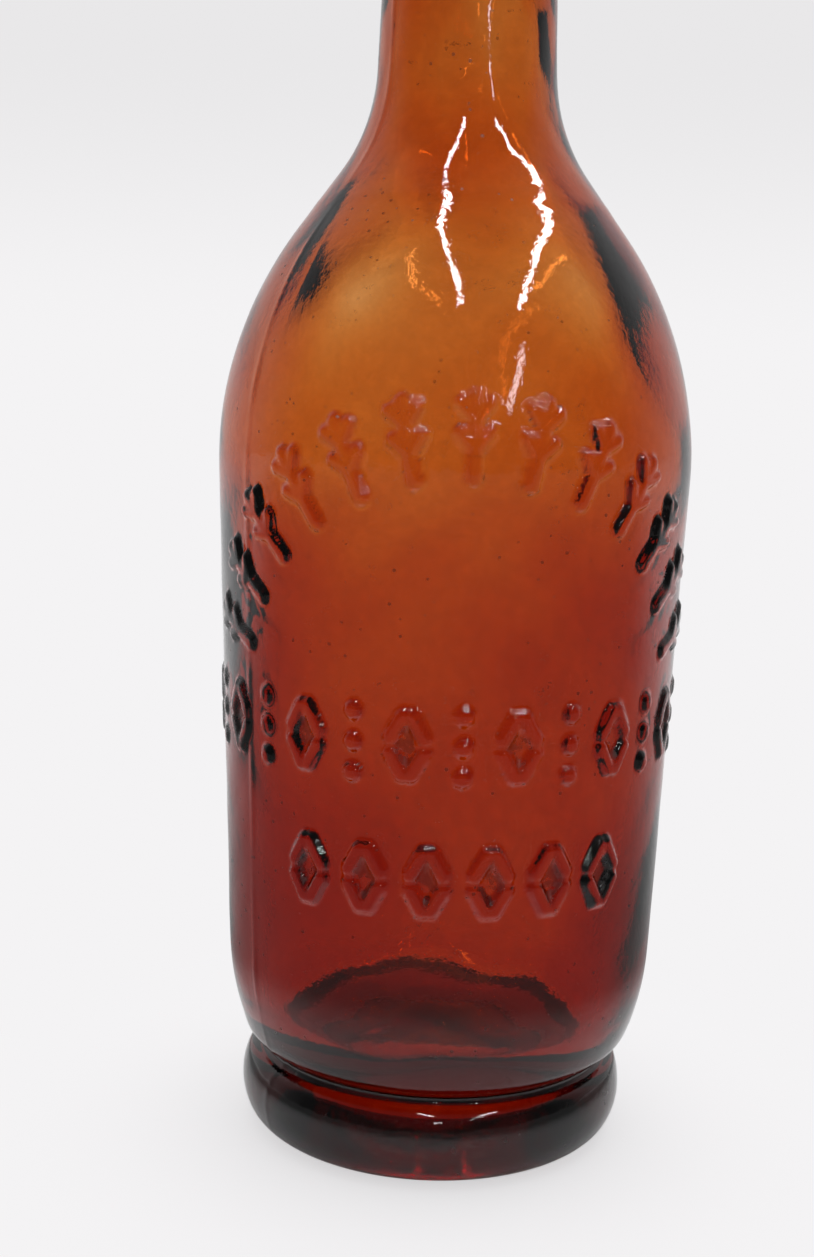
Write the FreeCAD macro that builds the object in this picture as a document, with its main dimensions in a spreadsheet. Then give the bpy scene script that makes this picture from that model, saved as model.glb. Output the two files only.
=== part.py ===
import FreeCAD, Part

"""A stout half-litre beer bottle of brown glass, blown in a mould, empty and without a stopper.

One piece of glass: a barrel that widens a little towards its shoulder, a sloping shoulder, a slim neck
with a plain band lip and, below the rounded heel, a heavy foot ring. The underside is pushed up. Raised
grains and beads stand on the front of the barrel as an arch over two rows.
Frame: millimetres, +Z up, origin at the centre of the foot ring's resting face, ornament towards -Y.
"""

import math
import os

import Sketcher
from FreeCAD import Placement, Rotation, Vector

SIZES = {
    # heights
    "total_height": 242.0,
    "crown_height": 117.0,  # where the barrel is widest
    "lip_height": 17.0,
    # barrel, shoulder and neck, outside
    "crown_radius": 40.0,
    "wall_taper": 2.15,  # degrees: the barrel narrows downwards
    "shoulder_round": 64.0,
    "cone_length": 11.5,  # straight stretch between the shoulder's round and the neck's sweep
    "neck_sweep": 30.0,
    "neck_radius": 13.4,  # just under the lip
    "neck_taper": 1.95,  # degrees: the neck narrows upwards
    "lip_step": 1.8,
    "lip_top_round": 3.4,
    "lip_under_round": 2.2,
    "lip_fillet": 1.4,
    # heel and foot ring; the angles are of the outward normal, in degrees from level
    "heel_sweep": 45.0,
    "heel_sweep_end": -20.4,
    "heel_turn": 5.0,
    "heel_turn_end": -69.8,
    "valley_round": 1.2,
    "ring_cap_round": 2.6,
    "ring_cap_end": 70.5,
    "ring_cap_start": 22.0,
    "ring_round": 11.0,
    "ring_round_end": -25.0,
    "ring_middle": 8.2,
    "rest_width": 2.3,
    "punt_height": 11.0,
    # inside
    "shoulder_wall": 3.1,
    "inner_taper": 4.6,  # degrees: the wall thickens downwards
    "neck_wall": 3.4,  # where the neck sweeps into the shoulder
    "bore_taper": 3.2,
    "mouth_radius": 8.4,
    "mouth_round": 1.6,
    "base_middle": 8.5,
    "trough_fall": 4.0,  # the floor's lowest ring lies this far below its middle
    "trough_reach": 16.2,  # radius of that ring
    # raised ornament: heights of the rows, pitches in degrees round the barrel or round the arch
    "ornament_turn": 3.0,
    "stroke_round": 1.35,
    "stroke_sink": 0.5,
    "arch_count": 13,
    "arch_radius": 50.0,
    "arch_middle": 73.0,
    "arch_pitch": 11.6,
    "grain_length": 15.0,
    "side_grain_round": 1.15,
    "side_grain_length": 5.7,
    "side_grain_lean": 38.0,
    "side_grain_first": 4.2,
    "side_grain_pitch": 4.4,
    "band_count": 15,
    "band_middle": 75.4,
    "band_pitch": 13.0,
    "low_count": 6,
    "low_middle": 53.6,
    "low_pitch": 15.2,
    "lozenge_width": 6.4,
    "lozenge_height": 11.6,
    "bead_round": 1.6,
    "bead_pitch": 4.9,
}
POLE = Vector(0, 0, 1)


# ---------------------------------------------------------------- sheet
def new_document():
    """A document with one sheet: every size is a cell with an alias."""
    doc = FreeCAD.newDocument("bottle")
    sheet = doc.addObject("Spreadsheet::Sheet", "sizes")
    for row, (name, value) in enumerate(SIZES.items(), start=1):
        sheet.set(f"A{row}", name)
        sheet.set(f"B{row}", str(value))
        sheet.setAlias(f"B{row}", name)
    doc.recompute()
    return doc, sheet


class Sizes:
    """The sheet's cells by name, as numbers."""

    def __init__(self, sheet):
        self.sheet = sheet

    def __getattr__(self, name):
        return float(self.sheet.get(name))


# ---------------------------------------------------------------- plane geometry, x = radius, y = height
def unit(angle):
    """Unit vector at an angle in degrees, from the radial direction towards up."""
    a = math.radians(angle)
    return Vector(math.cos(a), math.sin(a), 0)


def radius_on_wall(point, taper, height):
    """Radius at a height on the straight wall through point, which narrows downwards by taper degrees."""
    return point.x - (point.y - height) * math.tan(math.radians(taper))


def shoulder_to_neck(shoulder, reach, cone, on_neck, lean, sweep):
    """Joints of a shoulder arc, a cone and a neck sweep, in a chain where each is tangent to the next.

    Two circles that a straight stretch joins by an inner tangent have centres as far apart as the
    hypotenuse of that stretch and the sum of their radii, which places the sweep along the neck's line.
    """
    down = -unit(90 + lean)
    start = on_neck + unit(lean) * sweep
    offset = start - shoulder
    apart_squared = (reach + sweep) ** 2 + cone**2
    along = offset.dot(down)
    slide = -along - math.sqrt(along**2 - offset.dot(offset) + apart_squared)
    centre = start + down * slide
    gap = centre - shoulder
    slope = math.degrees(math.atan2(gap.y, gap.x) - math.atan2(cone, reach + sweep))
    return {
        "slope": slope,
        "cone_low": shoulder + unit(slope) * reach,
        "cone_high": centre - unit(slope) * sweep,
        "sweep": centre,
        "sweep_high": centre - unit(lean) * sweep,
    }


def outside_joints(s):
    """Centres and joints of the outside, worked from the crown down and from the neck up."""
    j = {"shoulder": Vector(s.crown_radius - s.shoulder_round, s.crown_height, 0)}
    j["wall_high"] = j["shoulder"] + unit(-s.wall_taper) * s.shoulder_round
    # heel and ring as one chain from the ring's middle; its width follows from the wall it ends on
    chain = [
        (s.ring_cap_start, s.ring_round - s.ring_cap_round, "cap"),
        (s.ring_cap_end, s.ring_cap_round + s.valley_round, "valley"),
        (s.heel_turn_end, -s.valley_round - s.heel_turn, "turn"),
        (s.heel_sweep_end, s.heel_turn - s.heel_sweep, "heel"),
    ]
    place = Vector(0, s.ring_middle, 0)
    for angle, step, name in chain:
        place = place + unit(angle) * step
        j[name] = place
    wall_low = place + unit(-s.wall_taper) * s.heel_sweep
    shift = Vector(radius_on_wall(j["wall_high"], s.wall_taper, wall_low.y) - wall_low.x, 0, 0)
    for _, _, name in chain:
        j[name] = j[name] + shift
    j["ring"] = Vector(shift.x, s.ring_middle, 0)
    j["wall_low"] = wall_low + shift
    j["heel_low"] = j["heel"] + unit(s.heel_sweep_end) * s.heel_sweep
    j["turn_low"] = j["turn"] + unit(s.heel_turn_end) * s.heel_turn
    j["valley_low"] = j["valley"] - unit(s.ring_cap_end) * s.valley_round
    j["cap_low"] = j["cap"] + unit(s.ring_cap_start) * s.ring_cap_round
    low = unit(s.ring_round_end)
    j["ring_low"] = j["ring"] + low * s.ring_round
    j["sole"] = j["ring_low"] - low * (j["ring_low"].y / (1 + low.y))
    j["rest_out"] = Vector(j["sole"].x, 0, 0)
    j["rest_in"] = j["rest_out"] - Vector(s.rest_width, 0, 0)
    sphere = (j["rest_in"].x ** 2 + s.punt_height**2) / (2 * s.punt_height)
    j["punt"] = Vector(0, s.punt_height - sphere, 0)
    # neck and lip
    lip_low = s.total_height - s.lip_height
    neck = Vector(s.neck_radius, lip_low, 0)
    reach = s.shoulder_round
    j.update(shoulder_to_neck(j["shoulder"], reach, s.cone_length, neck, s.neck_taper, s.neck_sweep))
    lip_radius = s.neck_radius + s.lip_step
    j["under"] = Vector(lip_radius - s.lip_under_round, lip_low + s.lip_under_round, 0)
    aside = s.lip_fillet + (neck - j["under"]).dot(unit(s.neck_taper))
    drop = math.sqrt((s.lip_under_round + s.lip_fillet) ** 2 - aside**2)
    j["nook"] = j["under"] + unit(s.neck_taper) * aside - unit(90 + s.neck_taper) * drop
    j["nook_neck"] = j["nook"] - unit(s.neck_taper) * s.lip_fillet
    share = s.lip_under_round / (s.lip_under_round + s.lip_fillet)
    j["nook_lip"] = j["under"] + (j["nook"] - j["under"]) * share
    j["side_low"] = Vector(lip_radius, j["under"].y, 0)
    j["side_high"] = Vector(lip_radius, s.total_height - s.lip_top_round, 0)
    j["brow"] = j["side_high"] - Vector(s.lip_top_round, 0, 0)
    j["top"] = j["brow"] + Vector(0, s.lip_top_round, 0)
    return j


def inside_joints(s, outside):
    """Centres and joints of the hollow: its shoulder shares the outer shoulder's centre."""
    reach = s.shoulder_round - s.shoulder_wall
    j = {"shoulder": outside["shoulder"]}
    j["mouth"] = Vector(s.mouth_radius + s.mouth_round, s.total_height - s.mouth_round, 0)
    j["mouth_top"] = j["mouth"] + Vector(0, s.mouth_round, 0)
    j["bore_high"] = j["mouth"] - unit(s.bore_taper) * s.mouth_round
    sweep = s.neck_sweep + s.neck_wall
    j.update(shoulder_to_neck(j["shoulder"], reach, s.cone_length, j["bore_high"], s.bore_taper, sweep))
    j["wall_high"] = j["shoulder"] + unit(-s.inner_taper) * reach
    # the trough is the round that turns the wall into the floor: it fills the room between them
    floor = s.punt_height + s.base_middle
    lean = math.radians(s.inner_taper)
    away = j["wall_high"] - Vector(s.trough_reach, floor - s.trough_fall, 0)
    trough = (math.cos(lean) * away.x - math.sin(lean) * away.y) / (1 - math.sin(lean))
    j["trough"] = Vector(s.trough_reach, floor - s.trough_fall + trough, 0)
    j["wall_low"] = j["trough"] + unit(-s.inner_taper) * trough
    # the floor's dome is a sphere that rests on the trough's round
    dome = (s.trough_reach**2 / s.trough_fall + s.trough_fall) / 2 - trough
    j["dome"] = Vector(0, floor - dome, 0)
    share = dome / (dome + trough)
    j["trough_in"] = j["dome"] + (j["trough"] - j["dome"]) * share
    j["floor"] = Vector(0, floor, 0)
    return j


# ---------------------------------------------------------------- sketches
class Outline:
    """A closed chain of lines and arcs in a sketch whose dimensions are bound to the sheet."""

    def __init__(self, sketch, start):
        self.sketch, self.point = sketch, start
        self.last = None
        self.end = None

    def _join(self, geometry, first, second, tangent):
        index = self.sketch.addGeometry(geometry, False)
        if self.last is not None:
            kind = "Tangent" if tangent else "Coincident"
            self.constrain(kind, self.last, self.end, index, first)
        self.last, self.end = index, second
        return index

    def constrain(self, *what):
        return self.sketch.addConstraint(Sketcher.Constraint(*what))

    def line(self, end, tangent=True):
        """A straight stretch from the last point to end."""
        index = self._join(Part.LineSegment(self.point, end), 1, 2, tangent)
        self.point = end
        return index

    def arc(self, centre, end, radius, tangent=True):
        """An arc about centre to end, the short way round, its radius held by a formula of cells."""
        a, b = self.point - centre, end - centre
        circle = Part.Circle(centre, POLE, a.Length)
        angles = [math.atan2(a.y, a.x), math.atan2(b.y, b.x)]
        if a.x * b.y - a.y * b.x > 0:
            index = self._join(Part.ArcOfCircle(circle, *angles), 1, 2, tangent)
        else:
            index = self._join(Part.ArcOfCircle(circle, *reversed(angles)), 2, 1, tangent)
        if radius:
            self.hold("Radius", radius, a.Length, index)
        self.point = end
        return index

    def hold(self, kind, formula, value, *where):
        """A dimension that keeps to a formula of the sheet's cells."""
        name = f"held_{self.sketch.ConstraintCount}"
        index = self.constrain(kind, *where, value)
        self.sketch.renameConstraint(index, name)
        self.sketch.setExpression(f"Constraints.{name}", formula)

    def close(self):
        self.constrain("Coincident", self.last, self.end, 0, 1)


def new_sketch(body, name):
    """A sketch on the body's own XZ plane: its X is the radius and its Y the height."""
    sketch = body.newObject("Sketcher::SketchObject", name)
    plane = next(f for f in body.Origin.OriginFeatures if f.Role == "XZ_Plane")
    sketch.AttachmentSupport = [(plane, "")]
    sketch.MapMode = "FlatFace"
    return sketch


def turn(body, kind, name, sketch):
    """A revolution or groove of a sketch, once round the axis."""
    feature = body.newObject(f"PartDesign::{kind}", name)
    feature.Profile = sketch
    feature.ReferenceAxis = (sketch, ["V_Axis"])
    feature.Angle = 360
    return feature


def draw_outside(sketch, s, j):
    """The outer section, from the punt up the axis, over the lip and down to the foot."""
    o = Outline(sketch, Vector(0, s.punt_height, 0))
    axis = o.line(Vector(0, s.total_height, 0))
    brim = o.line(j["top"], tangent=False)
    o.constrain("Horizontal", brim)
    o.arc(j["brow"], j["side_high"], "sizes.lip_top_round")
    side = o.line(j["side_low"])
    o.constrain("Vertical", side)
    o.hold("DistanceX", "sizes.neck_radius + sizes.lip_step", j["side_low"].x, -1, 1, side, 1)
    o.arc(j["under"], j["nook_lip"], "sizes.lip_under_round")
    o.arc(j["nook"], j["nook_neck"], "sizes.lip_fillet")
    o.line(j["sweep_high"])
    o.arc(j["sweep"], j["cone_high"], "sizes.neck_sweep")
    o.line(j["cone_low"])
    shoulder = o.arc(j["shoulder"], j["wall_high"], "sizes.shoulder_round")
    o.hold("DistanceY", "sizes.crown_height", s.crown_height, -1, 1, shoulder, 3)
    o.line(j["wall_low"])
    o.arc(j["heel"], j["heel_low"], "sizes.heel_sweep")
    o.arc(j["turn"], j["turn_low"], "sizes.heel_turn")
    o.arc(j["valley"], j["valley_low"], "sizes.valley_round")
    o.arc(j["cap"], j["cap_low"], "sizes.ring_cap_round")
    ring = o.arc(j["ring"], j["ring_low"], "sizes.ring_round")
    o.hold("DistanceY", "sizes.ring_middle", s.ring_middle, -1, 1, ring, 3)
    o.arc(j["sole"], j["rest_out"], None)
    rest = o.line(j["rest_in"])
    o.constrain("PointOnObject", rest, 2, -1)
    o.arc(j["punt"], Vector(0, s.punt_height, 0), None, tangent=False)
    o.close()
    o.constrain("PointOnObject", axis, 1, -2)
    o.constrain("PointOnObject", axis, 2, -2)
    o.hold("DistanceY", "sizes.punt_height", s.punt_height, -1, 1, axis, 1)
    o.hold("DistanceY", "sizes.total_height", s.total_height, -1, 1, axis, 2)


def draw_inside(sketch, s, j):
    """The hollow's section, from its floor up the axis and down the bore, shoulder and wall."""
    above = s.total_height + s.mouth_round
    o = Outline(sketch, j["floor"])
    axis = o.line(Vector(0, above, 0))
    o.line(Vector(j["mouth_top"].x, above, 0), tangent=False)
    o.line(j["mouth_top"], tangent=False)
    o.arc(j["mouth"], j["bore_high"], "sizes.mouth_round", tangent=False)
    mouth = o.last
    o.hold("DistanceX", "sizes.mouth_radius + sizes.mouth_round", j["mouth"].x, -1, 1, mouth, 3)
    o.hold("DistanceY", "sizes.total_height - sizes.mouth_round", j["mouth"].y, -1, 1, mouth, 3)
    o.line(j["sweep_high"])
    o.arc(j["sweep"], j["cone_high"], "sizes.neck_sweep + sizes.neck_wall")
    o.line(j["cone_low"])
    shoulder = o.arc(j["shoulder"], j["wall_high"], "sizes.shoulder_round - sizes.shoulder_wall")
    o.hold("DistanceY", "sizes.crown_height", s.crown_height, -1, 1, shoulder, 3)
    o.line(j["wall_low"])
    trough = o.arc(j["trough"], j["trough_in"], None)
    o.hold("DistanceX", "sizes.trough_reach", s.trough_reach, -1, 1, trough, 3)
    o.arc(j["dome"], j["floor"], None)
    o.close()
    o.constrain("PointOnObject", axis, 1, -2)
    o.constrain("PointOnObject", axis, 2, -2)
    o.hold("DistanceY", "sizes.punt_height + sizes.base_middle", j["floor"].y, -1, 1, axis, 1)


def blow_bottle(doc, s):
    """The plain bottle: the outside turned once round the axis, and the hollow cut out of it."""
    body = doc.addObject("PartDesign::Body", "blown")
    outside = outside_joints(s)
    section = new_sketch(body, "outside_section")
    draw_outside(section, s, outside)
    turn(body, "Revolution", "outside", section)
    doc.recompute()
    whole = body.Shape.Volume
    section = new_sketch(body, "hollow_section")
    draw_inside(section, s, inside_joints(s, outside))
    turn(body, "Groove", "hollow", section)
    doc.recompute()
    return body, outside, whole - body.Shape.Volume


# ---------------------------------------------------------------- raised ornament
class Wall:
    """Places on the outside, by degrees round the barrel and by millimetres measured up its wall."""

    def __init__(self, s, outside):
        self.s, self.low, self.centre = s, outside["wall_high"], outside["shoulder"]

    def place(self, turned, height, across=0.0, up=0.0, motif_spin=0.0, spin=0.0):
        """A frame on the wall whose Z leaves the glass squarely and whose Y runs up the wall.

        A motif stands at turned and height, spun by motif_spin; across and up are a stroke's place in
        the motif's own frame, and spin is the stroke's own turn there.
        """
        shift = Rotation(POLE, motif_spin).multVec(Vector(across, up, 0))
        height += shift.y
        if height > self.low.y:
            angle = math.degrees((height - self.low.y) / self.s.shoulder_round) - self.s.wall_taper
            spot = self.centre + unit(angle) * self.s.shoulder_round
        else:
            angle = -self.s.wall_taper
            spot = Vector(radius_on_wall(self.low, self.s.wall_taper, height), height, 0)
        turned += self.s.ornament_turn + math.degrees(shift.x / spot.x)
        spot = spot - unit(angle) * self.s.stroke_sink
        around = Rotation(POLE, turned)
        turn_out = around * Rotation(Vector(1, 0, 0), 90 - angle) * Rotation(POLE, motif_spin + spin)
        return Placement(around.multVec(Vector(0, -spot.x, spot.y)), turn_out)


def make_stroke(doc, name, thick, length):
    """A round bar with ball ends that lies along Y, centred: thick and length are formulas of cells."""
    bar = doc.addObject("Part::Cylinder", name + "_bar")
    bar.setExpression("Radius", thick)
    bar.setExpression("Height", f"{length} - 2 * {thick}")
    bar.setExpression("Placement.Base.y", f"{thick} - ({length}) / 2")
    bar.Placement.Rotation = Rotation(Vector(1, 0, 0), -90)
    balls = []
    for side in ("-", ""):
        ball = doc.addObject("Part::Sphere", name + "_ball")
        ball.setExpression("Radius", thick)
        ball.setExpression("Placement.Base.y", f"{side}(({length}) / 2 - {thick})")
        balls.append(ball)
    stroke = doc.addObject("Part::MultiFuse", name)
    stroke.Shapes = [bar] + balls
    stroke.Refine = True
    return stroke


def make_bead(doc):
    """A ball whose top stands as high as a stroke's."""
    bead = doc.addObject("Part::Sphere", "bead")
    bead.setExpression("Radius", "sizes.bead_round")
    return bead


def make_strokes(doc):
    """One of each stroke that the motifs repeat."""
    lozenge_side = "hypot(sizes.lozenge_width; sizes.lozenge_height) / 2"
    strokes = {
        "grain": make_stroke(doc, "grain", "sizes.stroke_round", "sizes.grain_length"),
        "side_grain": make_stroke(doc, "side_grain", "sizes.side_grain_round", "sizes.side_grain_length"),
        "lozenge_side": make_stroke(doc, "lozenge_side", "sizes.stroke_round", lozenge_side),
        "bead": make_bead(doc),
    }
    doc.recompute()
    return strokes


def ear(s):
    """An ear of grain: a stem and two pairs of side grains. Each stroke's name, place and spin."""
    lean = math.radians(s.side_grain_lean)
    reach = s.side_grain_length / 2 - s.side_grain_round
    foot = s.stroke_round - s.grain_length / 2
    strokes = [("grain", 0, 0, 0)]
    for pair in range(2):
        up = foot + s.side_grain_first + pair * s.side_grain_pitch + reach * math.cos(lean)
        for side in (-1, 1):
            strokes.append(("side_grain", side * reach * math.sin(lean), up, -side * s.side_grain_lean))
    return strokes


def lozenge(s):
    """Four strokes that meet at their ends."""
    wide, tall = s.lozenge_width / 4, s.lozenge_height / 4
    lean = math.degrees(math.atan2(wide, tall))
    return [("lozenge_side", a * wide, b * tall, a * b * lean) for a in (-1, 1) for b in (-1, 1)]


def beads(s):
    """Three beads, one above another."""
    return [("bead", 0, step * s.bead_pitch, 0) for step in (-1, 0, 1)]


def lay_motif(s, wall, strokes, motif, turned, height, motif_spin=0.0):
    """The motif's strokes as placed shapes."""
    laid = []
    for name, across, up, spin in motif:
        shape = strokes[name].Shape.copy()
        shape.Placement = wall.place(turned, height, across, up, motif_spin, spin)
        laid.append(shape)
    return laid


def lay_arch(s, wall, strokes):
    """Ears round an arch, upright at its crown and leaning more towards its ends."""
    laid = []
    for index in range(round(s.arch_count)):
        spin = (index - (s.arch_count - 1) / 2) * s.arch_pitch
        across = math.sin(math.radians(spin)) * s.arch_radius
        height = s.arch_middle + math.cos(math.radians(spin)) * s.arch_radius
        laid += lay_motif(s, wall, strokes, ear(s), math.degrees(across / s.crown_radius), height, -spin)
    return laid


def lay_row(s, wall, strokes, count, pitch, height, motifs):
    """Motifs side by side at one height, taken in turn."""
    laid = []
    for index in range(round(count)):
        turned = (index - (count - 1) / 2) * pitch
        laid += lay_motif(s, wall, strokes, motifs[index % len(motifs)], turned, height)
    return laid


def add_ornament(doc, name, laid):
    """A row of motifs as one object: strokes that touch are joined."""
    ornament = doc.addObject("Part::Feature", name)
    ornament.Shape = laid[0].multiFuse(laid[1:])
    return ornament


# ---------------------------------------------------------------- the finished piece
def fuse_bottle(doc, body, ornaments):
    """The blown bottle and its ornament as one piece of glass."""
    bottle = doc.addObject("Part::MultiFuse", "bottle")
    bottle.Label = "bottle"
    bottle.Shapes = [body] + ornaments
    bottle.Placement = Placement()
    return bottle


def check(doc, bottle):
    """Stop before anything is written if an object failed or the piece isn't one valid solid."""
    failed = [o.Label for o in doc.Objects if {"Invalid", "Error"} & set(o.State)]
    if failed:
        raise RuntimeError(f"failed objects: {failed}")
    shape = bottle.Shape
    if shape.isNull() or not shape.isValid() or len(shape.Solids) != 1:
        raise RuntimeError(f"the bottle isn't one valid solid: {len(shape.Solids)}")


def main():
    doc, sheet = new_document()
    s = Sizes(sheet)
    body, outside, hollow = blow_bottle(doc, s)
    wall = Wall(s, outside)
    strokes = make_strokes(doc)
    band = lay_row(s, wall, strokes, s.band_count, s.band_pitch, s.band_middle, [lozenge(s), beads(s)])
    low = lay_row(s, wall, strokes, s.low_count, s.low_pitch, s.low_middle, [lozenge(s)])
    ornaments = [
        add_ornament(doc, "arch", lay_arch(s, wall, strokes)),
        add_ornament(doc, "band", band),
        add_ornament(doc, "low_row", low),
    ]
    bottle = fuse_bottle(doc, body, ornaments)
    doc.recompute()
    check(doc, bottle)
    os.makedirs("parts", exist_ok=True)
    bottle.Shape.exportStep("parts/bottle.step")
    box = bottle.Shape.BoundBox
    print(f"bottle: {box.XLength:.2f} x {box.YLength:.2f} x {box.ZLength:.2f} mm")
    print(f"glass {bottle.Shape.Volume / 1000:.1f} ml, hollow to the brim {hollow / 1000:.1f} ml")
    ring = outside["ring"].x + s.ring_round
    print(f"ring radius {ring:.2f}, wall ends {outside['wall_low'].y:.2f} up, slope {outside['slope']:.2f}")
    print(f"resting face from radius {outside['rest_in'].x:.2f} to {outside['rest_out'].x:.2f}")


main()
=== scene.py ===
# %% [markdown]
# # An old brown beer bottle
#
# This lesson builds a stout, empty beer bottle of thick brown glass. On the real thing a gob of hot
# glass was blown into a two-part mould, so its outside is sharp where the mould was cut and its inside
# is as uneven as the breath that made it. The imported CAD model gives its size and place. The lesson
# replaces it with one closed skin that has the softness, the seams and the waves of old glass, because
# those are what make light wander inside it.

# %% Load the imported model
import math

import bpy
import numpy as np
from mathutils import Matrix, Vector


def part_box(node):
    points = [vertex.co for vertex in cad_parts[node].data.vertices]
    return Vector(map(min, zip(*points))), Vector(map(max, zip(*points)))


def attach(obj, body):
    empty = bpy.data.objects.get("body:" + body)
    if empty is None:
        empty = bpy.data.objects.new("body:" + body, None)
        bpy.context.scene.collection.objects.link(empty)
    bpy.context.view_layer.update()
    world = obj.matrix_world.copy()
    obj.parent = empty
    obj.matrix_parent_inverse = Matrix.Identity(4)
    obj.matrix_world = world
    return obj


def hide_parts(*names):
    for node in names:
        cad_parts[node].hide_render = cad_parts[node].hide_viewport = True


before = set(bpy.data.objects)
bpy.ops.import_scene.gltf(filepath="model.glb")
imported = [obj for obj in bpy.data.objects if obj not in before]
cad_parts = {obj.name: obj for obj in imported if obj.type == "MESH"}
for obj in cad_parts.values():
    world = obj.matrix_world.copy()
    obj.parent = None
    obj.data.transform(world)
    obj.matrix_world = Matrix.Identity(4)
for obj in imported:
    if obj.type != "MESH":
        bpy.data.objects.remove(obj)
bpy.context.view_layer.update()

MM = 0.001
NODE = "bottle"
low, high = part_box(NODE)
height = (high.z - low.z) / MM
crown_radius = (high.x - low.x) / MM / 2
print(f"the frame is {height:.1f} mm tall and {2 * crown_radius:.1f} mm across")

# %% [markdown]
# ## The outline
#
# A bottle is a turned shape, so half of its section says nearly everything. It could be drawn as a
# Bezier curve for the Screw modifier, but a mould maker thinks in radii: a shoulder of one radius, a
# sweep into the neck of another, each tangent to the next. Complex numbers make that short to write. A
# point is radius + 1j * height, and a turn by an angle is a multiplication.

# %% Arcs and straight stretches
def unit(degrees):
    """The direction at an angle from level: cosine outwards, sine upwards."""
    return np.exp(1j * np.radians(degrees))


def arc(centre, radius, start, end, step):
    """Points centre + radius * unit(angle), the angle running evenly from start to end."""
    count = max(2, math.ceil(abs(math.radians(end - start)) * radius / step) + 1)
    return centre + radius * unit(np.linspace(start, end, count))


def straight(start, end, step):
    """Points from start to end at even distances."""
    return np.linspace(start, end, max(2, math.ceil(abs(end - start) / step) + 1))


def chain(*stretches):
    """The stretches end to end, with each shared joint kept once."""
    return np.concatenate([stretches[0]] + [stretch[1:] for stretch in stretches[1:]])


print(f"a quarter turn of radius 10 in steps of 1 takes {arc(0j, 10, 0, 90, 1).size} points")

# %% [markdown]
# ### Crown and wall
#
# The crown is the widest place, where the shoulder begins. Its radius could be typed in, but read from
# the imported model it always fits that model. Below the crown the wall narrows a little, straight down
# to the heel. Every length is in millimetres and every angle in degrees until the surface is built.

# %% Crown and wall
crown_height, shoulder_round, wall_taper = 117.0, 64.0, 2.15
shoulder = crown_radius - shoulder_round + 1j * crown_height
wall_high = shoulder + shoulder_round * unit(-wall_taper)


def radius_on(point, taper, at):
    """Radius at a height on the straight line through point that narrows downwards by taper degrees."""
    return point.real - (point.imag - at) * math.tan(math.radians(taper))


print(f"the shoulder meets the wall {wall_high.real:.2f} mm out and {wall_high.imag:.1f} mm up")

# %% [markdown]
# ### Foot
#
# The foot is a chain of rounds: the ring that the bottle stands on, its rolled edge, the tight valley
# above it and the heel that sweeps up to the wall. Each centre follows from the one before by the sum
# or the difference of two radii. The chain starts on the axis, and one shift then brings it under the
# wall, which is shorter to write than solving for the foot ring's radius.

# %% Centres of the foot's rounds
valley_round, ring_cap_round, ring_cap_end, ring_cap_start = 1.2, 2.6, 70.5, 22.0
ring_round, ring_round_end, ring_middle = 11.0, -25.0, 8.2
heel_sweep, heel_sweep_end, heel_turn, heel_turn_end = 45.0, -20.4, 5.0, -69.8
ring = 1j * ring_middle
cap = ring + (ring_round - ring_cap_round) * unit(ring_cap_start)
valley = cap + (ring_cap_round + valley_round) * unit(ring_cap_end)
turn = valley - (valley_round + heel_turn) * unit(heel_turn_end)
heel = turn + (heel_turn - heel_sweep) * unit(heel_sweep_end)
wall_low = heel + heel_sweep * unit(-wall_taper)
foot_shift = radius_on(wall_high, wall_taper, wall_low.imag) - wall_low.real
ring, cap, valley, turn, heel, wall_low = np.array([ring, cap, valley, turn, heel, wall_low]) + foot_shift
print(f"foot ring {2 * (ring.real + ring_round):.1f} mm across, wall from {wall_low.imag:.1f} mm up")

# %% [markdown]
# ### Underside
#
# A flat bottom would rock on the least lump, so a blower pushes the middle up while the glass is soft,
# and only a narrow ring touches the table. A small round joins that ring to the foot, and the
# pushed-up part is the cap of a sphere.

# %% Resting ring and push-up
rest_width, punt_height = 2.3, 11.0
ring_low = ring + ring_round * unit(ring_round_end)
sole_round = ring_low.imag / (1 + unit(ring_round_end).imag)
sole = ring_low - sole_round * unit(ring_round_end)
rest_in = sole.real - rest_width
punt_round = (rest_in**2 + punt_height**2) / (2 * punt_height)
punt = 1j * (punt_height - punt_round)
punt_edge = np.degrees(np.angle(rest_in - punt))
print(f"the bottle stands on a ring from {rest_in:.1f} to {sole.real:.1f} mm out")

# %% [markdown]
# ### Outside
#
# From the middle of the underside the outline runs out to the resting ring, round the foot, up the
# barrel and over the shoulder to the lip. Each stretch has its own step between points: small where
# ornament will stand and where the foot turns sharply, and large where the glass is plain.

# %% The foot's outline
FINE, MEDIUM, COARSE = 0.5, 0.9, 1.8
foot = chain(
    arc(punt, punt_round, 90, punt_edge, 1.3),
    straight(rest_in + 0j, sole.real + 0j, 0.8),
    arc(sole, sole_round, -90, ring_round_end, 0.7),
    arc(ring, ring_round, ring_round_end, ring_cap_start, 0.7),
    arc(cap, ring_cap_round, ring_cap_start, ring_cap_end, 0.4),
    arc(valley, valley_round, ring_cap_end + 180, heel_turn_end + 180, 0.3),
    arc(turn, heel_turn, heel_turn_end, heel_sweep_end, 0.6),
    arc(heel, heel_sweep, heel_sweep_end, -wall_taper, MEDIUM),
)
print(f"{foot.size} points from the axis to the wall")

# %% [markdown]
# ### From shoulder to neck
#
# The shoulder and the neck's sweep turn opposite ways with a short cone between them. Two circles that
# a straight stretch joins in this way have their centres as far apart as the hypotenuse of that stretch
# and the sum of their radii. That fixes how high the sweep sits on the neck's line.

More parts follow.
